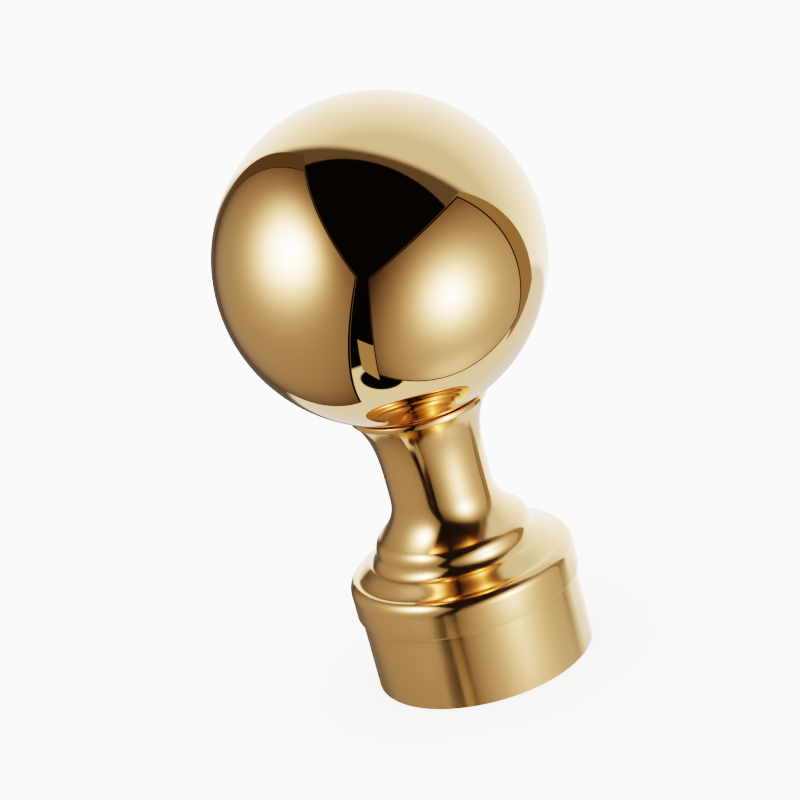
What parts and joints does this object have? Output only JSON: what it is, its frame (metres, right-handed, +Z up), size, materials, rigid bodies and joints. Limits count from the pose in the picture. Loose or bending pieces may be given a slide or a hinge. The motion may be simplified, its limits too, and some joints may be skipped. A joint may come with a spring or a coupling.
{
  "type": "flagpole finial",
  "caption": "Mirror-polished ball finial on a hollow-curved turned neck with a bead, sloped shoulder and plain socket sleeve for a round pole.",
  "frame": {"origin": "centre of the sleeve's bottom rim, in the plane of the rim", "axes": "+Z up the common axis of the sleeve, neck and ball"},
  "size_m": [0.1, 0.1, 0.1836],
  "materials": {
    "ball": "mirror-polished gold-coloured metal",
    "neck": "polished gold-coloured metal with faint turning lines",
    "sleeve": "polished gold-coloured metal with faint turning lines"
  },
  "bodies": {
    "root": {"ball": "ball", "neck": "neck", "sleeve": "sleeve"}
  },
  "joints": []
}
